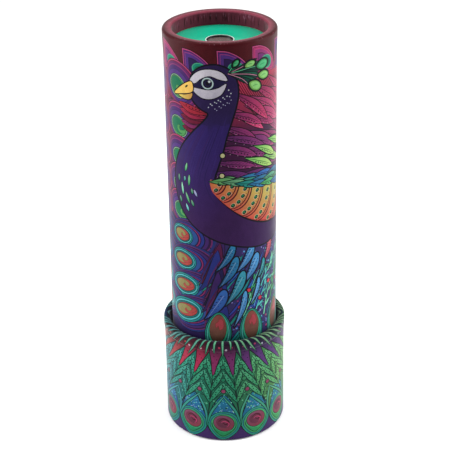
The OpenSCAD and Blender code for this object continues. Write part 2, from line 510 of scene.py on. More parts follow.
def eye(art, x, y, rx, ry, angle, rims, outer, heart, share=0.74, gap=0.75):
    """A feather's eye: rims from the outside in, then a two-tone core with a hook."""
    for i, fill in enumerate(rims):
        wider = gap * (len(rims) - i)
        art.add(oval(x, y, rx + wider + 0.12, ry + wider + 0.12, angle), INK)
        art.add(oval(x, y, rx + wider - 0.2, ry + wider - 0.2, angle), fill)
    thin = mix(INK, outer, 0.3)
    art.add(oval(x, y, rx + 0.28, ry + 0.28, angle), INK)
    art.add(oval(x, y, rx, ry, angle), outer)
    centre = turned([((share - 0.94) * rx, (0.86 - share) * 0.8 * ry)], angle, (x, y))[0]
    art.inked(oval(*centre, share * rx, share * ry, angle), heart, 0.16, thin)
    hook = curve([(0.93, -0.05), (0.55, -0.42), (0.1, -0.42), (-0.12, -0.05), (0.06, 0.22),
                  (0.14, -0.08), (0.42, -0.14), (0.8, 0.36)], 4, True)
    art.inked(turned([(a * rx, b * ry) for a, b in hook], angle, (x, y)), outer, 0.14, thin)


def nested(art, x, y, rx, ry, angle, bands, drift):
    """Ovals round a feather's eye, the widest first. drift carries the wide ones sideways."""
    for wider, fill in bands:
        centre = (x + drift[0] * wider, y + drift[1] * wider)
        art.add(oval(*centre, rx + wider, ry + 0.72 * wider, angle, 36), fill)


def quill(art, x, y, angle, length, width, root, tip, marks, bend=0.8, edge=0.42):
    """A pointed feather with a rib and a row of marks."""
    end = beyond(x, y, angle, length)
    art.inked(leaf(x, y, *end, width, bend, 0.6), blend(root, tip, (x, y), end), edge)
    rib = [(length * t, bend * sin(pi * t)) for t in (0.06, 0.3, 0.6, 0.94)]
    art.stroke(turned(rib, angle, (x, y)), mix(INK, root, 0.25), 0.1, 0.1, 0.34)
    for j in range(marks):
        t = 0.34 + 0.5 * j / marks
        mark = turned([(length * t, bend * sin(pi * t) - width * 0.23)], angle, (x, y))[0]
        art.add(oval(*mark, 0.46, 0.3, angle, 8), mix(INK, root, 0.15))


def fin(art, x, y, size, fills, rim):
    """A swept arch with its point at the upper left."""
    top = curve([(0, 0), (4.6, -0.5), (9.6, -3.2), (13.6, -7.2), (15.4, -11), (15.8, -14)], 5)
    cx, cy = 6.2, -7.6
    for k, fill in ((1.05, INK), (1.0, rim), (0.93, mix(INK, fills[0], 0.4)), (0.89, fills[0]),
                    (0.80, mix(rim, fills[0], 0.35)), (0.76, fills[1]),
                    (0.52, mix(INK, fills[1], 0.25)), (0.46, fills[2])):
        art.add([(x + size * (cx + (a - cx) * k), y + size * (cy + (b - cy) * k))
                 for a, b in ((0.6, -13), (0.2, -6), *top)], fill)


# ---- the tube's art

TUBE_HALF = pi * TUBE_R
COLUMN = TUBE_HALF / 5
TUBE_MARGIN = 1.6
TUBE_ART_LOW, TUBE_ART_HIGH = 24.0, 197.4

# the feathers below this height are the low kind
LOW_FEATHERS = 112

# how far each oval round a feather's eye reaches past it, and its colour
UPPER_BANDS = (
    (6.4, INK), (6.1, mix(PINK, WINE, 0.35)), (5.5, mix(INK, WINE, 0.6)), (5.2, mix(PURPLE, WINE, 0.4)),
    (4.2, MAGENTA), (3.8, mix(PURPLE, PLUM, 0.3)), (2.4, mix(INK, VIOLET, 0.4)),
    (2.1, mix(VIOLET, PURPLE, 0.6)))
LOWER_BANDS = (
    (8.4, INK), (8.1, mix(NAVY, BLUE, 0.2)), (7.0, mix(MAGENTA, PLUM, 0.45)), (6.6, mix(INK, PLUM, 0.7)),
    (5.9, mix(PURPLE, NAVY, 0.4)), (4.9, INK), (4.6, mix(COBALT, NAVY, 0.5)), (3.7, mix(INK, NAVY, 0.6)),
    (3.4, mix(MAGENTA, WINE, 0.4)), (3.0, mix(INK, NAVY, 0.6)),
    (2.6, mix(mix(COBALT, TEAL, 0.25), NAVY, 0.35)))
LOW_RIMS = (mix(TEAL, PINE, 0.15), mix(AQUA, TEAL, 0.35), mix(TEAL, PINE, 0.5))


def tube_ground(x, y):
    if y > TUBE_TOP + 3.8:
        return rgb("6c3040")
    if y > 184:
        # Maroon band up to the rim, then painted lighter over the rim's outer corner and flat top: painted
        # light on the rim's upward face.
        return mix(MAROON, rgb("863a4c"), (y - TUBE_TOP - 0.4) / 2)
    if y > LOW_FEATHERS:
        return mix(PLUM, WINE, (y - LOW_FEATHERS) / 60)
    return mix(mix(NAVY, PLUM, 0.4), PLUM, (y - 60) / 40)


def feather_field(art):
    """Rows of eyed feathers round the tube, left out where the bird covers them."""
    rows = ((178.5, 5.6, 4.5, -48), (160, 5.4, 4.3, -36), (145, 5.0, 4.0, -34), (131.5, 4.9, 4.0, -30),
            (119, 4.9, 3.9, -24), (107, 5.0, 3.5, 0), (94.3, 5.8, 3.5, 2), (81, 6.5, 3.6, 8),
            (67.6, 7.4, 3.8, 14))
    for y, rx, ry, tilt in rows:
        for k in (-5, -4, -3, -2, 5, 4, 3, -1):
            side = -1 if k > 0 else 1
            angle = side * tilt
            x = k * COLUMN - (5.3 if k == -1 else 9.0) + 0.028 * max(0, 107 - y)
            if y < LOW_FEATHERS:
                nested(art, x, y, rx, ry, angle, LOWER_BANDS, (side * 0.62, -0.06))
                eye(art, x, y, rx - 0.5, ry - 0.5, angle, LOW_RIMS, rgb("983e3a"), rgb("7e784a"),
                    gap=0.72 + 0.01 * (107 - y))
                continue
            shade = mix(MAGENTA, CRIMSON, 0.5) if k % 2 else WINE
            for j in range(4):
                vane = leaf(x - 9, y - 6 - j, x + 9, y - 9 + 2.2 * j, 3.0, -1.5)
                art.inked(vane, mix(shade, PLUM, 0.22 * j), 0.3)
            nested(art, x, y, rx, ry, angle, UPPER_BANDS, (side * 0.28, 0.22))
            eye(art, x, y, rx - 0.5, ry - 0.4, angle, (mix(PALE, LEAF, 0.55),),
                mix(LIME, GREEN, 0.65), mix(GREEN, PINE, 0.25), 0.86)


def crown(art):
    """The row of swept arches under the rim."""
    for k in range(-5, 6):
        core = (PURPLE, mix(PURPLE, VIOLET, 0.4), mix(PLUM, NAVY, 0.5))
        if k % 3 == 1:
            core = (mix(MAGENTA, CRIMSON, 0.4), MAGENTA, mix(MAGENTA, PURPLE, 0.5))
        x = k * COLUMN - 1.4
        y = 196.9 + 0.4 * sin(2.1 * k)
        fin(art, x, y, 0.97, core, PINK)
        spot = oval(x + 8.4, y - 8.6, 3.6, 2.6, -20)
        art.inked(spot, mix(GREEN, TEAL, 0.3), 0.4, mix(GREEN, MINT, 0.3))
        art.add(oval(x + 8.4, y - 8.9, 2.8, 1.9, -20), mix(GREEN, PINE, 0.4))


def throat_leaves(art):
    """Dark crimson leaves between the throat and the near feathers."""
    tints = (WINE, MAGENTA, WINE, mix(CRIMSON, WINE, 0.4), mix(RED, WINE, 0.3))
    for i, tint in enumerate(tints):
        quill(art, -6.0 + 0.5 * i, 161.6 + 1.7 * i, 184 - 4.0 * i, 12.5 + 1.0 * i, 3.4,
              mix(tint, MAROON, 0.4), mix(tint, WINE, 0.25), 5, 0.9, 0.3)


def side_feathers(art):
    """Long pointed feathers that fan out behind the neck."""
    art.add([(2, 187), (46, 181), (62, 160), (58, 122), (-4, 137)],
            blend(rgb("a02c48"), mix(PLUM, MAROON, 0.4), (8, 182), (14, 158)))
    for j in range(40):
        x = 2 + 1.15 * j
        y = 187 - 0.2 * x
        art.stroke([(x, y), (x + 5, y - 9), (x + 14, y - 21)], mix(MAROON, INK, 0.4), 0.2, 0.5)
    for depth in range(-1, 5):
        count = 12 - max(0, depth)
        for i in range(count):
            t = i / (count - 1)
            x = 38 - 9.6 * depth + 3 - 8 * t + vary(1.5)
            y = 186.5 - 1.9 * depth - (49 - 2.8 * depth) * t + vary(0.8)
            lean = -45 + 3 * depth + 26 * t + vary(7)
            warm = mix(CRIMSON, rgb("e44a70"), 0.4 + 0.5 * sin(2.3 * i + 1.4 * depth))
            cool = mix(MAGENTA, PURPLE, 0.5 + 0.5 * sin(1.7 * i + 2 * depth))
            tint = mix(warm, cool, 1.3 * t + 0.1 * depth - 0.25)
            root = mix(tint, PLUM, 0.4 + 0.1 * depth)
            tip = mix(tint, PINK, 0.5 - 0.07 * depth)
            length = 29 - 1.5 * depth + vary(4)
            width = 5.2 - 0.3 * depth + vary(0.7)
            quill(art, x, y, lean, length, width, root, tip, 7, rng.uniform(0.2, 1.6), 0.4)
            for j in range(9):
                px, py = turned([(length * (0.2 + 0.08 * j), 0.9)], lean, (x, y))[0]
                hook = turned([(0, 0), (1.1, 0.75), (1.9, 1.1)], lean, (px, py))
                art.stroke(hook, mix(root, INK, 0.45), 0.22, 0.08)
                if j % 2 == 0:
                    art.dot(px + 0.4, py - 1.9, 0.2, mix(tip, PALE, 0.35), 6)
    for x, y, lean, length in ((24, 152.4, -25, 15), (20.6, 145.4, -22, 16), (15, 151.6, -29, 17.5),
                               (10.4, 146.8, -25, 19)):
        quill(art, x, y, lean, length, 3.4, mix(LEAF, LIME, 0.5), rgb("a0bc68"), 6, 0.5, 0.5)


def tail_ground(art):
    """Spangled ground under the belly, with swept barbs at its left."""
    art.add([(-6, 53), (37, 53), (39, 108), (-3, 108), (-7, 92), (-9, 74)], rgb("322a5a"))
    specks = (LILAC, SKY, MAGENTA, AQUA, COBALT, VIOLET, NAVY, INK)
    for _ in range(760):
        art.dot(rng.uniform(-6, 38), rng.uniform(56, 104), rng.uniform(0.18, 0.5), rng.choice(specks), 6)
    for i in range(46):
        x, y = rng.uniform(-6, 22), rng.uniform(60, 101)
        reach = rng.uniform(7, 14)
        barb = curve([(x, y), (x - 0.3 * reach, y - 0.5 * reach), (x - 0.75 * reach, y - reach)], 4)
        tint = (COBALT, TEAL, BLUE, PURPLE, mix(TEAL, GREEN, 0.5))[i % 5]
        art.stroke(barb, INK, 0.6, 0.3, 1.9)
        art.stroke(barb, mix(tint, NAVY, 0.12), 0.2, 0.05, 1.1)
    for i in range(34):
        x, y = rng.uniform(-1, 30), 57 + 17 * rng.random() ** 1.4
        tint = mix((LILAC, SKY, PINK, AQUA)[i % 4], NAVY, 0.25)
        art.ringed(x, y, rng.uniform(0.35, 0.7), tint, mix(INK, NAVY, 0.4))
    tints = (PURPLE, WINE, COBALT, MAGENTA, NAVY, PURPLE, COBALT, WINE, MAGENTA, COBALT)
    for i, tint in enumerate(tints):
        x, y = -2.6 - 1.1 * (i % 3), 108 - 3.7 * i
        foot = (x - 8.6 + 0.5 * i, y - 21)
        fill = blend(mix(tint, INK, 0.6), mix(tint, NAVY, 0.5), foot, (x, y))
        art.inked(leaf(*foot, x + 2.4, y + 2, 4.8, -2.6, 0.6), fill, 0.3)
        rib = curve([foot, (x - 3.6, y - 9), (x + 1, y)], 4)
        art.stroke(rib, mix(tint, INK, 0.55), 0.15, 0.15, 0.5)


def twigs(art):
    """Pale green twigs with berries, low on the right."""
    places = ((8, 62, 66, 18), (15, 66, 60, 20), (12, 78, 52, 16), (21, 64, 70, 20), (19, 80, 48, 15),
              (26, 70, 62, 19), (24, 86, 40, 14), (31, 62, 72, 22), (30, 82, 56, 18), (36, 74, 64, 20))
    for i, (x, y, angle, length) in enumerate(places):
        tint = mix((MINT, AQUA, LEAF)[i % 3], GREEN, 0.15)
        stem = [(0, 0), (length * 0.35, 0.9), (length * 0.7, 0.8), (length, -0.6)]
        stem = turned(stem, angle, (x, y))
        art.stroke(curve(stem, 4), INK, 1.5, 0.5)
        for j in range(5):
            foot, lean = along(stem, 0.2 + 0.17 * j)
            tip = beyond(*foot, lean + (38 if j % 2 else -38), 4.4)
            art.inked(leaf(*foot, *tip, 1.2), mix(tint, GREEN, 0.2 * (j % 3)), 0.28)
        art.stroke(curve(stem, 4), tint, 0.8, 0.2)
    for i in range(20):
        x, y = rng.uniform(11, 40), rng.uniform(60, 92)
        stem = [(0, 0), (rng.uniform(4, 7), 0.7), (rng.uniform(9, 15), 0)]
        stem = curve(turned(stem, rng.uniform(50, 68), (x, y)), 3)
        art.stroke(stem, INK, 1.2, 0.7)
        art.stroke(stem, mix((TEAL, AQUA, SKY, LEAF)[i % 4], NAVY, 0.1), 0.55, 0.15)
    for x, y in ((12, 80), (24.6, 80.4), (7.6, 72), (18.4, 74), (33, 78), (21.5, 91)):
        art.ringed(x, y, 0.95, mix(RED, CRIMSON, 0.4), INK)


def teardrops(art):
    """Blue barbs that sweep down to the left from under the belly."""
    azure = mix(BLUE, TEAL, 0.4)
    frost = mix(SKY, BLUE, 0.3)
    places = (
        (20.5, 92, 26, 103, 5.4, mix(RED, CRIMSON, 0.3)), (-3.6, 91.4, 5, 105, 4.6, azure),
        (5.6, 90.4, 14.4, 103.4, 5.4, frost), (-2.4, 83, 6.4, 98.4, 5.6, azure),
        (8.6, 84, 17, 98.2, 6.0, frost), (0.6, 73.4, 9.6, 90.6, 6.0, mix(TEAL, SKY, 0.3)),
        (-9.4, 65.4, 0.8, 81.6, 7.0, mix(BLUE, COBALT, 0.4)), (4.4, 61.6, 10.4, 80, 3.8, frost),
        (16, 84, 21, 94, 3.2, TEAL), (12.4, 72, 17.8, 85, 3.0, SKY))
    for x0, y0, x1, y1, width, tint in places:
        fill = blend(mix(tint, NAVY, 0.5), mix(tint, AQUA, 0.12), (x0, y0), (x1, y1))
        art.inked(drop(x0, y0, x1, y1, 0.8 * width, -1.3), fill, 0.7)
        rib = [(x0 + (x1 - x0) * t + 0.5, y0 + (y1 - y0) * t - 0.6) for t in (0.12, 0.5, 0.86)]
        art.stroke(rib, mix(tint, PALE, 0.35), 0.1, 0.26)
        for j in range(5):
            (x, y), _ = along(rib, 0.4 + 0.14 * j)
            art.add(oval(x - 0.9, y + 0.3, 0.62, 0.26, 20, 8), mix(INK, COBALT, 0.2))
            art.add(oval(x + 0.9, y - 0.2, 0.34, 0.2, 20, 6), mix(INK, COBALT, 0.3))


def red_ovals(art):
    """The ring of red eye spots just above the sleeve, left open beside the bird's tail."""
    pitch = 2 * TUBE_HALF / 9.5
    rings = ((6.6, 11.8, 58.4, INK), (6.2, 11.4, 58.4, mix(GREEN, TEAL, 0.5)), (5.7, 10.9, 58.6, INK),
             (5.4, 10.6, 58.6, mix(TEAL, MINT, 0.3)), (4.9, 9.6, 59.4, mix(PINE, TEAL, 0.3)),
             (4.6, 9.0, 60.4, mix(LEAF, TEAL, 0.4)), (4.1, 8.0, 61.0, INK))
    hook = curve([(2.0, 4.4), (2.5, 1.0), (1.0, -0.6), (0.1, 1.6), (-0.8, 0.4), (-1.2, 2.4),
                  (-0.2, 3.4), (0.5, 5.2)], 4, True)
    for k in (-5, -4, -3, 0, 1, 2, 3, 4):
        x = k * pitch - 3.0
        tilt = -5 + 8 * sin(1.7 * k)
        for rx, ry, y, fill in rings:
            art.add(egg(x, y, rx, ry, tilt, 0.18), fill)
        fill = blend(rgb("78423a"), rgb("5c4236"), (x, 67), (x, 56))
        art.add(egg(x, 61.0, 3.9, 7.6, tilt, 0.12), fill)
        art.inked(turned(hook, tilt, (x, 61.2)), rgb("963a42"), 0.16, mix(INK, RED, 0.4))


# the bird's outline, from the front of its head
BIRD = [
    (-13.4, 182.6), (-11.6, 186.6), (-7.2, 189.6), (-1.6, 190.4), (3.4, 188.2), (6.6, 183.6),
    (7.5, 178.0), (6.6, 172.0), (4.6, 165.4), (2.2, 158.0), (0.2, 150.0), (-2.0, 143.0),
    (-3.4, 137.0), (0.0, 131.0), (10.0, 127.0), (28.0, 121.0), (42.0, 115.5), (50.0, 109.5),
    (44.0, 104.6), (32.0, 102.2), (19.0, 101.6), (6.0, 104.4), (-6.0, 108.8), (-14.6, 114.2),
    (-20.4, 120.8), (-23.6, 128.2), (-24.2, 136.0), (-22.6, 143.8), (-18.6, 151.6), (-12.6, 159.2),
    (-7.4, 164.8), (-5.4, 168.4), (-8.6, 170.4), (-12.0, 173.4), (-13.6, 177.4)]


def bird_fill(x, y):
    if y > 163:
        return mix(rgb("291b46"), rgb("2c1d54"), (170 - y) / 12)
    return mix(rgb("301f5e"), rgb("371a4a"), (158 - y) / 40 + 0.2 * sin(x * 0.16))


def bird_body(art):
    art.inked(curve(BIRD, 5, True), bird_fill, 0.75)
    left = [(-7, 166), (-14, 157), (-20.5, 145), (-22.5, 132), (-17, 119), (-6, 111)]
    right = [(3.6, 168), (1, 158), (-2.4, 146), (-4.6, 136), (2, 124), (16, 112)]
    strands = (rgb("332262"), rgb("361d54"), rgb("281a4c"))
    for k in range(15):
        t = (k + 0.5) / 15
        strand = [(a[0] + (b[0] - a[0]) * t, a[1] + (b[1] - a[1]) * t) for a, b in zip(left, right)]
        first = rng.randint(0, 9)
        art.stroke(curve(strand, 5)[first:first + 12], rng.choice(strands), 0.05, 0.05, 0.4)
    for x, y, length, angle, tint in (
            (-17.6, 139.4, 4.4, 76, LEAF), (-15.8, 132.8, 5.4, 86, LEAF), (-19.2, 127.6, 6.0, 97, MINT),
            (-15.6, 124.0, 5.6, 112, LEAF), (-11.6, 128.2, 3.6, 116, LILAC), (-16.2, 120.0, 3.8, 112, AQUA),
            (-21.6, 133.6, 3.4, 92, GREEN), (-13.4, 123.0, 3.4, 112, GREEN), (-20.4, 123.4, 3.2, 108, GREEN),
            (-18.2, 134.4, 2.6, 84, TEAL), (-13.9, 129.0, 2.8, 100, GREEN)):
        tip = beyond(x, y, angle, length)
        fill = blend(mix(tint, GREEN, 0.3), mix(tint, PALE, 0.35), (x, y), tip)
        art.inked(leaf(x, y, *tip, 1.1), fill, 0.28)


def bird_head(art):
    upper = [(-13.9, 182.2), (-11.6, 185.8), (-7.6, 188.1), (-2.6, 188.3), (1.2, 186.6), (2.8, 183.6),
             (-0.6, 184.2), (-4.6, 185.6), (-8.4, 184.2), (-11.2, 181.9)]
    lower = [(-12.7, 179.5), (-10.6, 176.9), (-7.2, 175.3), (-3.0, 175.6), (0.6, 177.8), (2.4, 182.0),
             (-0.8, 180.3), (-5.0, 179.2), (-9.0, 179.5)]
    for patch in (upper, lower):
        art.inked(curve(patch, 5, True), blend(rgb("bab6bc"), rgb("a4a0aa"), (-6, 188), (-2, 175)), 0.5)
    almond = [(-11.6, 180.8), (-8.6, 183.4), (-5.0, 184.9), (-1.4, 183.8), (2.2, 182.9), (-0.6, 181.0),
              (-4.8, 179.8), (-8.6, 180.2)]
    art.add(curve(almond, 5, True), rgb("1e183c"))
    for r, fill in ((2.62, mix(PALE, TEAL, 0.3)), (2.05, INK), (1.45, rgb("241c44")), (0.95, INK)):
        art.dot(-5.6, 182.2, r, fill, 24)
    art.dot(-4.8, 183.1, 0.55, PALE, 12)
    for i in range(7):
        for j in range(5):
            x = -5.4 + 1.8 * i + 0.9 * (j % 2) + vary(0.2)
            y = 174.4 - 1.5 * j + 0.95 * i + vary(0.2)
            if hypot(x + 2.6, y - 180) < 10.2 and hypot(x + 4.4, y - 182) > 7.6 and x < 5.2:
                art.dot(x, y, 0.32 - 0.03 * j, mix(PALE, LILAC, 0.15 * j), 8)
    low = [(-20.6, 175.1), (-17.0, 173.9), (-13.8, 174.3), (-12.8, 177.0), (-16.6, 175.6)]
    top = [(-12.9, 182.1), (-15.8, 181.2), (-19.6, 178.4), (-23.0, 175.0), (-18.4, 175.9), (-12.7, 177.8)]
    art.inked(curve(low, 4, True),
              blend(mix(ORANGE, STRAW, 0.3), mix(GOLD, LIME, 0.3), (-13, 174), (-20, 175)), 0.5)
    art.inked(curve(top, 4, True),
              blend(mix(GOLD, ORANGE, 0.2), mix(GOLD, STRAW, 0.3), (-14, 178), (-20, 178)), 0.5)
    art.add(oval(-15.6, 179.7, 1.0, 0.45, 42, 12), mix(INK, OLIVE, 0.2))


def crest(art):
    root = (3.2, 186.6)
    for k in range(9):
        a = radians(26 - 7.5 * k)
        tip = (root[0] + 15 * cos(a), root[1] + 11 * sin(a))
        art.inked(leaf(*root, *tip, 2.0, 0, 0.65), mix(PINE, GREEN, 0.35 * (k % 2)), 0.4)
    plumes = ((6.6, 190.9, 1.7, 0.95, LEAF), (13.2, 189.6, 2.5, 1.4, LIME), (20.0, 188.2, 3.3, 2.1, LEAF),
              (20.8, 183.2, 3.2, 1.8, LIME), (15.8, 179.6, 3.4, 2.1, LIME))
    for x, y, rx, ry, tint in plumes:
        stem = curve([root, ((root[0] + x) / 2, (root[1] + y) / 2 + 0.5), (x - rx * 0.8, y)], 5)
        art.stroke(stem, INK, 0.9, 0.8)
        art.stroke(stem, mix(LEAF, MINT, 0.4) if tint == LEAF else mix(PINK, PALE, 0.3), 0.3, 0.26)
        angle = degrees(atan2(y - root[1], x - root[0])) + 90
        art.inked(egg(x, y, ry, rx, angle, 0.3), mix(tint, PINE, 0.35), 0.85)
        art.add(egg(x + 0.25, y, ry * 0.78, rx * 0.8, angle, 0.3), mix(tint, MINT, 0.2))
        rib = curve([(x - rx * 0.5, y - 0.3), (x, y + 0.2), (x + rx * 0.5, y)], 4)
        art.stroke(rib, mix(tint, GREEN, 0.55), 0.1, 0.1, 0.4)


# the wing's upper and lower edges, from its shoulder
WING_TOP = [(-3.6, 136.2), (2.0, 136.0), (7.8, 134.8), (14.2, 133.2), (20.8, 131.6), (28.2, 130.0),
            (37.0, 127.0), (50.0, 120.5)]
WING_LOW = [(-3.8, 134.0), (-2.6, 130.2), (0.8, 126.2), (5.2, 122.0), (10.6, 117.8), (17.6, 114.2),
            (26.0, 111.6), (36.0, 111.2), (51.0, 117.5)]


def wing_lobes(art):
    """Scalloped orange lobes with dark-ringed green spots."""
    low = curve(WING_LOW, 6)
    art.add(grow(WING_TOP[::-1] + low, 0.7), INK)
    art.add(WING_TOP[::-1] + low, mix(CORAL, RED, 0.4))
    for k in range(7, 0, -1):
        start, end = WING_TOP[k], WING_LOW[k]
        edge = sweep(start, end)
        inner = sweep(WING_TOP[k - 1], WING_LOW[k - 1])
        warm = mix(mix(ORANGE, CORAL, 0.15), STRAW, (k - 1.5) / 3)
        fill = blend(warm, mix(CORAL, RED, 0.25), (start[0] - 2, start[1] - 4), (end[0], end[1] - 1))
        band = blend(mix(ORANGE, warm, 0.5), CORAL, start, end)
        lines = ((0.0, mix(INK, RED, 0.15)), (0.7, band), (1.45, mix(INK, RED, 0.2)), (2.05, fill))
        for by, tint in lines:
            lobe = edge + low[6 * k::-1] + WING_TOP[:k + 1]
            art.add([(x - by * 0.8, y + by * 0.6) for x, y in lobe], tint)
        count = 1 + min(k, 4)
        for j in range(count):
            (x0, y0), (x1, y1) = (along(side, 0.14 + 0.7 * j / (count - 1))[0] for side in (edge, inner))
            x, y = 0.45 * x0 + 0.55 * x1, 0.45 * y0 + 0.55 * y1
            art.add(oval(x, y, 1.3, 1.15, 40, 14), mix(warm, PALE, 0.3))
            art.add(oval(x, y, 1.05, 0.9, 40, 12), mix(INK, GREEN, 0.15))
            art.dot(x - 0.1, y + 0.15, 0.45, mix(GREEN, LEAF, 0.3), 8)
        for j in range(3 * count):
            (x, y), _ = along(edge, (j + 0.6) / (3 * count + 0.5))
            art.dot(x - 2.3, y + 1.3, 0.26, mix(RED, INK, 0.5), 6)


def wing(art):
    """The lobes, and the band of green and blue leaf feathers over them."""
    wing_lobes(art)
    tints = (LEAF, GREEN, TEAL, BLUE, GREEN, mix(BLUE, TEAL, 0.4), mix(LIME, LEAF, 0.5), TEAL)
    band = curve(WING_TOP, 4)
    for row, (rise, count) in enumerate(((5.4, 6), (3.0, 7), (0.7, 7))):
        for i in range(count):
            (x, y), angle = along(band, (i + 0.25 * (row % 2)) / count)
            if rise > 3 and x < 8 + 2 * row:
                continue
            lift = rise * min(1.0, max(0.2, (x + 5) / 22))
            cool = BLUE if rise > 3 else tints[(i * 3 + row * 2) % len(tints)]
            tint = mix(cool, tints[(i + row) % len(tints)], 0.35)
            if x < 6:
                tint = mix(tint, LIME, 0.6)
            quill(art, x - 2.2, y + lift, angle + 3 - row, 12.4, 3.2, mix(tint, PINE, 0.25),
                  mix(tint, MINT, 0.12), 3, 0.3, 0.44)
    for x, y in ((0.4, 149.0), (0.0, 139.4)):
        art.ringed(x, y, 1.0, mix(STRAW, PALE, 0.3), INK)


def rim_pleat_light_and_shade(sheet):
    """Painted highlights on small creases where the paper is gathered over the rim, and painted highlights
    and painted shade in streaks down its inner side.
    """
    # Pale creases on the rim's outer corner and top: painted highlights on the gathered paper.
    for _ in range(170):
        x = vary(TUBE_HALF - 1)
        y = TUBE_TOP + rng.uniform(-1.0, 3.4)
        size = rng.uniform(0.3, 1.2)
        crease_highlight = [(x, y), (x + vary(0.15), y + size * 0.5), (x, y + size)]
        width = rng.uniform(0.12, 0.3)
        sheet.stroke(crease_highlight, mix(WINE, PALE, rng.uniform(0.05, 0.3)), 0.05, 0.05, width)
    y_mouth = TUBE_TOP + 4.4
    for _ in range(210):
        x = vary(TUBE_HALF - 1)
        y0 = y_mouth + vary(1.0)
        # Short pale streaks are painted highlights on the wrinkles; long dark streaks running down into the
        # bore are painted shade in their folds.
        pale = rng.random() < 0.55
        y1 = y0 + rng.uniform(1.2, 3.2) if pale else sheet.box[3] - rng.uniform(0.1, 1.5)
        tint = mix(WINE, rgb("b08090"), rng.uniform(0.15, 0.5)) if pale else mix(MAROON, INK, 0.5)
        streak = [(x, y0), (x + vary(0.2), (y0 + y1) / 2), (x, y1)]
        sheet.stroke(streak, tint, 0.05, 0.05, rng.uniform(0.2, 0.55))


def draw_tube(y_end):
    """The art stays clear of the sheet's edges and the rim; over the rim only painted highlights and shade
    on the pleats are added.
    """
    sheet = Sheet(-TUBE_HALF, TUBE_HALF, TUBE_LOW, y_end, tube_ground)
    side = TUBE_HALF - TUBE_MARGIN
    art = Sheet(-side, side, TUBE_ART_LOW, TUBE_ART_HIGH, tube_ground)
    for draw in (crown, feather_field, throat_leaves, side_feathers, tail_ground, twigs, teardrops,
                 red_ovals, bird_body, crest, wing, bird_head):
        draw(art)
    sheet.take(art)
    rim_pleat_light_and_shade(sheet)
    return sheet


# ---- the sleeve's art

SLEEVE_HALF = pi * SLEEVE_R
SLEEVE_ART_LOW, SLEEVE_ART_HIGH = 0.6, 61.4

# where the fan's rays meet, and how far neighbours part per mm of height
FAN_X, FAN_Y, FAN_SLOPE = -1.0, 76.6, 0.245


def fan(k, y):
    """A point on the k-th ray of the fan, at height y."""
    return FAN_X + k * FAN_SLOPE * (FAN_Y - y), y


def by_side(x, left, middle, right):
    """Shifts a colour from left to right round the front."""
    return mix(left, middle, (x + 42) / 34) if x < 0 else mix(middle, right, (x - 2) / 30)


def green_at(x):
    return by_side(x, mix(TEAL, SKY, 0.5), mix(mix(GREEN, LEAF, 0.45), TEAL, 0.2), mix(LIME, LEAF, 0.2))


def sleeve_ground(x, y):
    if y < 8:
        return rgb("40285e")
    return mix(mix(green_at(x), PINE, 0.55), rgb("20204c"), (y - 52) / 5)


def chevron(art, k, y, fall, width, tint, bow):
    """Two thin leaves that hang from a peak on ray k and meet their neighbours' tips."""
    peak = fan(k, y)
    for side in (-1, 1):
        foot = fan(k + 0.5 * side, y - fall)
        arm = curve([peak, fan(k + side * (0.25 + bow), y - 0.5 * fall), foot], 6)
        art.stroke(arm, SHADE, 0.9, 0.5, width + 0.8)
        art.stroke(arm, blend(mix(tint, MINT, 0.2), mix(tint, GREEN, 0.4), peak, foot), 0.35, 0.1, width)
        for j in range(7 if width > 1.4 else 0):
            (px, py), _ = along(arm, 0.14 + 0.11 * j)
            art.dot(px + 0.3 * (-1) ** j, py, 0.36, SHADE, 7)


def lower_cell(art, k):
    """A stippled blue cell with a red eye below it."""
    x, _ = fan(k, 10)
    half = 8.15
    right = [(0.66, 19), (0.97, 9.5), (0.55, 3.6)]
    cell = [(x * 0.93, 26.5), *((x + half * a, y) for a, y in right), (x, 1.6),
            *((x - half * a, y) for a, y in right[::-1])]
    tone = by_side(x, BLUE, mix(BLUE, TEAL, 0.35), mix(TEAL, BLUE, 0.3))
    fill = blend(mix(mix(tone, TEAL, 0.4), PINE, 0.15), mix(tone, NAVY, 0.3), (x, 24), (x, 12))
    art.inked(curve(cell, 4, True), fill, 0.5)
    for _ in range(60):
        a, r = rng.uniform(0, TAU), sqrt(rng.random())
        art.dot(x * 0.97 + half * 0.66 * r * cos(a), 18.6 + 5.2 * r * sin(a), rng.uniform(0.18, 0.42),
                rng.choice((SKY, AQUA, MINT, COBALT, mix(BLUE, PALE, 0.4))), 6)
    tilt = (-26, -14, -20)[k % 3]
    green = by_side(x, mix(TEAL, GREEN, 0.5), mix(GREEN, LEAF, 0.6), mix(LEAF, LIME, 0.15))
    shade = mix(INK, PINE, 0.7)
    for shrink, fill in ((-0.3, INK), (0.0, mix(green, TEAL, 0.5)), (0.75, mix(COBALT, PINE, 0.5)),
                         (1.15, green), (1.8, shade), (2.15, mix(green, GREEN, 0.3))):
        art.add(grow(egg(x, 8.9, 7.8, 8.0, 180 + tilt * 0.3, 0.34), -shrink), fill)
    yolk = blend(rgb("76465e"), rgb("7a3846"), (x - 2, 14), (x + 2, 7))
    for rx, fill in ((5.75, mix(green, MINT, 0.2)), (5.4, shade), (5.05, yolk)):
        art.add(oval(x, 10.3, rx, rx - 0.7, tilt), fill)
    art.add(oval(x - 0.3, 10.6, 3.6, 2.9, tilt), rgb("663246"))
    swirl = curve([(x - 2.6, 11.2), (x - 0.4, 13.0), (x + 2.2, 11.6), (x + 1.0, 9.6), (x - 0.6, 10.8)], 4)
    art.stroke(swirl, mix(INK, WINE, 0.45), 0.2, 0.2, 0.75)
    gleam = [(px + 0.3, py - 1.5) for px, py in swirl[2:-4]]
    art.stroke(gleam, mix(PINK, CRIMSON, 0.5), 0.15, 0.15, 0.5)


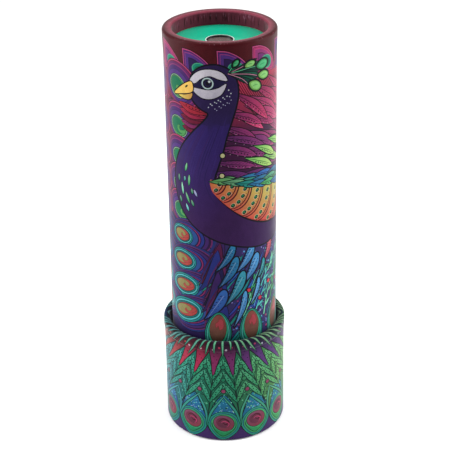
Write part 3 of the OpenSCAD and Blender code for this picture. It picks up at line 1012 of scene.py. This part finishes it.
def chevron_rows(art, rays):
    """The spotted ground and the rows of chevrons over it."""
    for k in range(-6, 7):
        for j in range(70):
            x, y = fan(k + vary(0.46), rng.uniform(17, 45))
            tone = mix(green_at(x), PINE, 0.9) if j % 2 else mix(green_at(x), MINT, 0.35)
            art.dot(x, y, rng.uniform(0.25, 0.55), tone, 7)
        spine = [fan(k + 0.5, y) for y in (39, 30, 21, 13)]
        art.stroke(spine, mix(INK, PINE, 0.3), 0.2, 0.2, 0.9)
    for y, fall, width, bow, spot in ((25.6, 17.5, 1.0, 0.15, None), (33.2, 11.0, 1.9, 0.04, 28.8),
                                      (40.0, 11.0, 1.9, 0.03, 35.2), (46.8, 11.5, 2.0, 0.02, 42.2)):
        for k in rays:
            x = fan(k, y)[0]
            if abs(x) > SLEEVE_HALF / 2 + 10:
                continue
            tint = green_at(x)
            if y < 30:
                tint = mix(tint, by_side(x, SKY, TEAL, TEAL), 0.5)
            else:
                chevron(art, k, y - 3.4, fall * 0.72, 0.4 * width, mix(tint, PINE, 0.25), bow)
            chevron(art, k, y, fall, width, tint, bow)
            if spot:
                tone = rgb("843c5c") if y < 40 else mix(tint, PINE, 0.3)
                art.ringed(*fan(k, spot), 0.95, tone, SHADE)


def spikes(art):
    """Red to violet spikes that hang from the rim between the green peaks."""
    for k in sorted(range(-12, 12), key=lambda k: -abs(k + 0.5)):
        mid = k + 0.5
        x = fan(mid, 46)[0]
        if abs(x) > SLEEVE_HALF / 2 + 8:
            continue
        if x < -9:
            tone = mix(CORAL, CRIMSON, (x + 30) / 14)
        else:
            tone = mix(mix(CRIMSON, MAGENTA, 0.6), VIOLET, (x + 9) / 22)
        tone = mix(tone, INK, 0.3 if x > -20 else 0.4)
        dark = mix(tone, INK, 0.6)
        left = [(0.55, 57), (0.46, 51), (0.2, 45.5)]
        shape = [*(fan(mid - a, y) for a, y in left), fan(mid, 37.6),
                 *(fan(mid + a, y) for a, y in left[::-1])]
        fill = blend(mix(tone, INK, 0.85), mix(tone, PINK, 0.1), fan(mid, 53.5), fan(mid, 46.5))
        art.inked(curve(shape, 4), fill, 0.42)
        for j in range(5):
            art.dot(*fan(mid + 0.1 * (-1) ** j, 50.2 - 1.9 * j), 0.46 - 0.05 * j, dark)
        art.ringed(*fan(mid - 0.24, 52.0), 0.55, mix(tone, PALE, 0.5), dark)
        art.ringed(*fan(mid + 0.22, 53.2), 0.5, mix(RED, tone, 0.4), dark)


def strokes(art):
    """Pale strokes that fan down from the rim."""
    band = [(-SLEEVE_HALF, 70), (-SLEEVE_HALF, 56.5), (SLEEVE_HALF, 56.5), (SLEEVE_HALF, 70)]
    art.add(band, mix(INK, NAVY, 0.35))
    for j in range(-26, 27):
        k = 0.61 * j + 0.1 * sin(3.1 * j)
        top = fan(k * 1.04, 60.6 - 0.6 * (j % 2))
        end = fan(k, 47.8 + 3.0 * (j % 2) + 1.2 * sin(1.9 * j))
        if abs(end[0]) > SLEEVE_HALF / 2 + 16:
            continue
        tone = by_side(top[0] * 1.6, mix(SKY, AQUA, 0.5), mix(LEAF, MINT, 0.45), mix(LIME, PALE, 0.25))
        tone = mix(tone, PINE, min(0.6, abs(top[0]) / 40))
        fill = blend(mix(tone, PALE, 0.2), mix(tone, GREEN, 0.45), top, end)
        art.inked(leaf(*top, *end, 0.85, 0.5 * sin(1.3 * j), 0.4), fill, 0.34, mix(INK, PINE, 0.5))


def draw_sleeve(y_end):
    """One fan on the front half, and its mirror image on the back."""
    sheet = Sheet(-SLEEVE_HALF, SLEEVE_HALF, -FOOT_TUCK, y_end, sleeve_ground)
    left, right = FAN_X - SLEEVE_HALF / 2, FAN_X + SLEEVE_HALF / 2
    art = Sheet(left, right, SLEEVE_ART_LOW, SLEEVE_ART_HIGH, sleeve_ground)
    rays = sorted(range(-12, 13), key=lambda k: -abs(k))
    for k in rays:
        if abs(fan(k, 12)[0]) < SLEEVE_HALF / 2 + 12:
            lower_cell(art, k)
    chevron_rows(art, rays)
    spikes(art)
    strokes(art)
    sheet.take(art)
    sheet.take(art, left)
    sheet.take(art, right)
    return sheet


# ---- the wraps


def corner(y0, centre_r, centre_z, start):
    """A quarter-round corner, turning inwards from the start angle."""
    out = []
    for i in range(1, 6):
        turn = pi / 2 * i / 5
        a = start + turn
        out.append((y0 + RIM_ROUND * turn, centre_r + RIM_ROUND * cos(a), centre_z + RIM_ROUND * sin(a)))
    return out


def over_rim(stations, rim_r, bore_r, top, strip_end):
    """Carries the paper over a flat-topped rim with round corners and down inside."""
    z = top - RIM_ROUND
    stations.append((z, rim_r, z))
    stations += corner(z, rim_r - RIM_ROUND, z, 0)
    stations += corner(stations[-1][0] + rim_r - bore_r - 2 * RIM_ROUND, bore_r + RIM_ROUND, z, pi / 2)
    stations.append((stations[-1][0] + z - strip_end, bore_r, strip_end))
    outward = normals([(r, z) for _, r, z in stations], False)
    return [(*station, *normal) for station, normal in zip(stations, outward)]


def tube_profile():
    """(y on the sheet, r, z, normal r, normal z) up the tube's wrap."""
    stations = []
    for z in (TUBE_LOW, FLARE_LOW, FLARE_HIGH):
        flare = max(0.0, (z - FLARE_LOW) / (FLARE_HIGH - FLARE_LOW))
        stations.append((z, TUBE_R + (TUBE_RIM_R - TUBE_R) * flare, z))
    return over_rim(stations, TUBE_RIM_R, RIM_BORE_R, TUBE_TOP, TUBE_STRIP_END)


def sleeve_profile():
    """The same up the sleeve's wrap, which starts tucked under the foot."""
    foot_r, foot_z = SLEEVE_R - FOOT_ROUND, SLEEVE_LOW + FOOT_ROUND
    stations = [(-FOOT_TUCK, foot_r - FOOT_REACH, SLEEVE_LOW)]
    for i in range(6):
        a = pi / 2 * i / 5
        y = foot_z - FOOT_ROUND * (pi / 2 - a)
        stations.append((y, foot_r + FOOT_ROUND * sin(a), foot_z - FOOT_ROUND * cos(a)))
    for i in range(6):
        t = i / 5
        z = LIP_LOW + (LIP_HIGH - LIP_LOW) * t
        stations.append((z, SLEEVE_R + (SLEEVE_RIM_R - SLEEVE_R) * t * t * (3 - 2 * t), z))
    return over_rim(stations, SLEEVE_RIM_R, MOUTH_R, SLEEVE_TOP, SLEEVE_STRIP_END)


# ---- materials


class Nodes:
    """Builds one node material. A value may be a number, a colour or another node's output."""

    def __init__(self, name):
        self.material = bpy.data.materials.new(name)
        self.material.use_nodes = True
        self.tree = self.material.node_tree
        self.shader = self.tree.nodes["Principled BSDF"]

    def plug(self, socket, value):
        if isinstance(value, bpy.types.NodeSocket):
            self.tree.links.new(value, socket)
        elif isinstance(value, tuple) and socket.type == "RGBA":
            socket.default_value = (*value, 1.0)
        else:
            socket.default_value = value

    def new(self, kind, **values):
        node = self.tree.nodes.new("ShaderNode" + kind)
        for key, value in values.items():
            if hasattr(node, key):
                setattr(node, key, value)
            else:
                self.plug(node.inputs[key.replace("_", " ")], value)
        return node

    def set(self, **values):
        for key, value in values.items():
            self.plug(self.shader.inputs[key.replace("_", " ")], value)
        return self

    def coords(self, stretch=(1, 1, 1)):
        place = self.new("TexCoord").outputs["Object"]
        return self.new("Mapping", Vector=place, Scale=stretch).outputs["Vector"]

    def noise(self, scale, detail=3.0, stretch=(1, 1, 1)):
        node = self.new("TexNoise", Vector=self.coords(stretch), Scale=scale, Detail=detail, Roughness=0.5)
        return node.outputs["Fac"]

    def ramp(self, value, low, high, to_low=0.0, to_high=1.0):
        node = self.new("MapRange", Value=value, From_Min=low, From_Max=high, To_Min=to_low, To_Max=to_high)
        return node.outputs["Result"]

    def mixed(self, a, b, fac, mode="MIX"):
        node = self.new("Mix", data_type="RGBA", blend_type=mode)
        for i, value in ((6, a), (7, b), (0, fac)):
            self.plug(node.inputs[i], value)
        return node.outputs[2]

    def bump(self, height, strength, distance, into=None):
        node = self.new("Bump", Height=height, Strength=strength, Distance=distance)
        if into is not None:
            self.plug(node.inputs["Normal"], into)
        return node.outputs["Normal"]


def scaled(tone, by):
    return tuple(min(1, c * by) for c in tone)


def print_material():
    n = Nodes("laminated_print")
    art = n.new("Attribute", attribute_name="print").outputs["Color"]
    soft = n.noise(420, 4, (1, 1, 0.45))
    grain = n.noise(2600, 2)
    cloudy = n.mixed(art, (0.62, 0.60, 0.66), n.ramp(soft, 0.3, 0.7), "MULTIPLY")
    bright = n.mixed(art, cloudy, 0.42)
    worn = n.mixed(bright, (0.5, 0.5, 0.55), 0.9, "MULTIPLY")
    bright = n.mixed(bright, worn, n.ramp(grain, 0.35, 0.65, 0, 0.3))
    tone = n.new("HueSaturation", Color=bright, Saturation=0.98).outputs["Color"]
    n.set(Base_Color=n.new("Gamma", Color=tone, Gamma=1.12).outputs["Color"],
          Roughness=n.ramp(n.noise(180, 3), 0.3, 0.7, 0.36, 0.5),
          Specular_IOR_Level=0.05, Sheen_Weight=0.2, Sheen_Roughness=0.35,
          Normal=n.bump(grain, 0.10, 0.00004, n.bump(soft, 0.12, 0.00012)))
    return n.material


def card_material(name="wound_card", tone=(0.42, 0.30, 0.19)):
    n = Nodes(name)
    fibre = n.noise(900, 5, (1, 1, 0.25))
    flecks = n.noise(2400, 2)
    colour = n.mixed(scaled(tone, 0.72), tone, n.ramp(fibre, 0.3, 0.7))
    n.set(Base_Color=n.mixed(colour, (0.70, 0.62, 0.50), n.ramp(flecks, 0.62, 0.78, 0, 0.6)),
          Roughness=n.ramp(fibre, 0.3, 0.7, 0.8, 0.95),
          Normal=n.bump(fibre, 0.35, 0.0002))
    return n.material


def plastic_material(name, tone, rough=0.25, variation=0.08, coat=0.0):
    n = Nodes(name)
    cloud = n.ramp(n.noise(160, 3), 0.3, 0.7)
    fine = n.noise(700, 2)
    return n.set(Base_Color=n.mixed(scaled(tone, 1 - variation), scaled(tone, 1 + variation), cloud),
                 Roughness=n.ramp(fine, 0.3, 0.7, rough * 0.9, rough * 1.12),
                 Coat_Weight=coat, Coat_Roughness=0.1,
                 Normal=n.bump(fine, 0.03, 0.00002))


def bezel_material():
    """Pale on the flange and black down the bore."""
    n = plastic_material("bezel", (0.55, 0.60, 0.58), 0.3)
    flange = n.shader.inputs["Base Color"].links[0].from_socket
    radius = n.new("VectorMath", operation="LENGTH", Vector=n.coords((1, 1, 0))).outputs["Value"]
    bore = node_r("eye_bezel") - BEZEL_FLANGE_W
    outside = n.ramp(radius, (bore + 0.04) * MM, (bore + 0.1) * MM)
    n.set(Base_Color=n.mixed((0.012, 0.012, 0.014), flange, outside))
    return n.material


def clear_material(name, tint, rough, transmission=1.0):
    n = Nodes(name)
    cloud = n.ramp(n.noise(300, 3), 0.35, 0.65)
    n.set(Base_Color=n.mixed(tint, scaled(tint, 0.93), cloud),
          Roughness=n.ramp(n.noise(900, 2), 0.3, 0.7, rough, rough * 1.4 + 0.01),
          Transmission_Weight=transmission, IOR=1.5)
    return n.material


def mirror_material():
    n = Nodes("silvered_mirror")
    smear = n.noise(220, 4, (1, 1, 0.2))
    n.set(Base_Color=n.mixed((0.86, 0.88, 0.90), (0.78, 0.80, 0.83), n.ramp(smear, 0.4, 0.7)),
          Roughness=n.ramp(smear, 0.3, 0.7, 0.015, 0.05), Metallic=1.0)
    return n.material


def felt_material():
    n = Nodes("felt")
    fuzz = n.noise(3200, 5)
    n.set(Base_Color=n.mixed((0.03, 0.03, 0.035), (0.11, 0.11, 0.12), n.ramp(fuzz, 0.3, 0.7)),
          Roughness=0.95, Sheen_Weight=0.4, Sheen_Roughness=0.5,
          Normal=n.bump(fuzz, 0.6, 0.0003))
    return n.material


def dress(material, *nodes):
    for node in nodes:
        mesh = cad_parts[node].data
        mesh.materials.clear()
        mesh.materials.append(material)


# ---- pieces

ink_paper = print_material()
tube_shape = tube_profile()
tube_wrap = roll("printed_tube_wrap", draw_tube(tube_shape[-1][0]), tube_shape, TUBE_R)
sleeve_shape = sleeve_profile()
sleeve_wrap = roll("printed_sleeve_wrap", draw_sleeve(sleeve_shape[-1][0]), sleeve_shape, SLEEVE_R)
for piece, body, node, slot in ((tube_wrap, "tube", "tube_wrap", "tube_print"),
                                (sleeve_wrap, "sleeve", "sleeve_wrap", "sleeve_print")):
    piece.data.materials.append(ink_paper)
    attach(piece, body)
    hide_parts(node)

dress(card_material(), "tube_core", "rim_liner", "eyepiece_ring", "upper_prism_ring",
      "lower_prism_ring", "end_window_ring", "tube_collar", "sleeve_core", "stop_ring",
      "cover_ring", "base_ring")
dress(card_material("black_card", (0.05, 0.048, 0.05)), "mirror_jacket")
for mirror in ("mirror_front", "mirror_left", "mirror_right"):
    dress(mirror_material(), mirror)
dress(felt_material(), "felt_ring")
dress(plastic_material("green_disc", (0.001, 0.40, 0.235), 0.12, 0.05, 0.7).material, "eyepiece_disc")
dress(bezel_material(), "eye_bezel")
dress(plastic_material("white_plastic", (0.78, 0.78, 0.76), 0.4).material, "chamber_wall")
dress(clear_material("frosted_plastic", (0.92, 0.94, 0.94), 0.55), "diffuser_disc")
dress(clear_material("clear_plastic", (0.96, 0.98, 0.98), 0.02), "end_window", "chamber_cover")
dress(clear_material("dusty_window", (0.26, 0.21, 0.19), 0.12, 0.6), "eye_window")
for node, tone, kind in (
        ("round_beads", (0.62, 0.01, 0.04), "gloss"), ("ring_beads", (0.80, 0.45, 0.04), "gloss"),
        ("bugle_beads", (0.02, 0.14, 0.60), "gloss"), ("star_sequins", (0.80, 0.06, 0.30), "foil"),
        ("petal_sequins", (0.14, 0.50, 0.05), "foil"), ("cut_gems", (0.40, 0.08, 0.62), "clear"),
        ("prism_chips", (0.95, 0.30, 0.03), "clear")):
    if kind == "clear":
        look = clear_material(node + "_look", tone, 0.03)
    else:
        shiny = 0.8 if kind == "foil" else 0.0
        look = plastic_material(node + "_look", tone, 0.15, 0.12, 0.5).set(Metallic=shiny).material
    dress(look, node)

# ---- floor, light and camera


def stand(name, data):
    """Puts a new object in the scene."""
    obj = bpy.data.objects.new(name, data)
    bpy.context.scene.collection.objects.link(obj)
    return obj


def make_floor():
    half = 5.0
    mesh = bpy.data.meshes.new("floor")
    square = [(-half, -half, 0), (half, -half, 0), (half, half, 0), (-half, half, 0)]
    mesh.from_pydata(square, [], [(0, 1, 2, 3)])
    n = Nodes("pale_floor")
    n.set(Base_Color=n.mixed((0.90, 0.90, 0.90), (0.93, 0.93, 0.93), n.noise(6, 2)),
          Roughness=0.9, Specular_IOR_Level=0.1)
    mesh.materials.append(n.material)
    stand("floor", mesh)


def make_light(name, place, aim, size, power):
    data = bpy.data.lights.new(name, "AREA")
    data.shape = "RECTANGLE"
    data.size, data.size_y = size
    data.energy = power
    lamp = stand(name, data)
    lamp.location = place
    lamp.rotation_euler = (aim - Vector(place)).to_track_quat("-Z", "Y").to_euler()
    lamp.visible_camera = False


def make_world():
    world = bpy.data.worlds.new("studio")
    world.use_nodes = True
    background = world.node_tree.nodes["Background"]
    background.inputs["Color"].default_value = (1.0, 1.0, 1.0, 1.0)
    background.inputs["Strength"].default_value = 0.24
    bpy.context.scene.world = world


def make_camera():
    """Looks down from the front at the middle of the tube. Metres and radians."""
    distance, height = 0.5336, 0.3723
    pitch, yaw, tilt = 0.4679, 0.00195, -0.0151
    data = bpy.data.cameras.new("camera")
    data.sensor_width = 36.0
    data.lens = 102.02
    data.clip_start, data.clip_end = 0.01, 20
    camera = stand("camera", data)
    ahead = Vector((sin(yaw) * cos(pitch), cos(yaw) * cos(pitch), -sin(pitch)))
    right = Vector((cos(yaw), -sin(yaw), 0))
    up = right.cross(ahead)
    side = cos(tilt) * right + sin(tilt) * up
    top = -sin(tilt) * right + cos(tilt) * up
    turn = Matrix((side, top, -ahead)).transposed()
    camera.matrix_world = Matrix.Translation((0, -distance, height)) @ turn.to_4x4()
    bpy.context.scene.camera = camera


make_floor()
make_world()
centre = Vector((0, 0, TUBE_TOP * MM / 2))
for name, place, size, power in (("left_box", (-0.9, -0.1, 0.45), (0.6, 1.0), 13.5),
                                 ("right_box", (0.9, 0.0, 0.45), (0.6, 1.0), 14),
                                 ("top_box", (0.0, 0.1, 1.1), (1.2, 1.2), 12)):
    make_light(name, place, centre, size, power)
make_camera()
bpy.context.scene.view_settings.view_transform = "Standard"
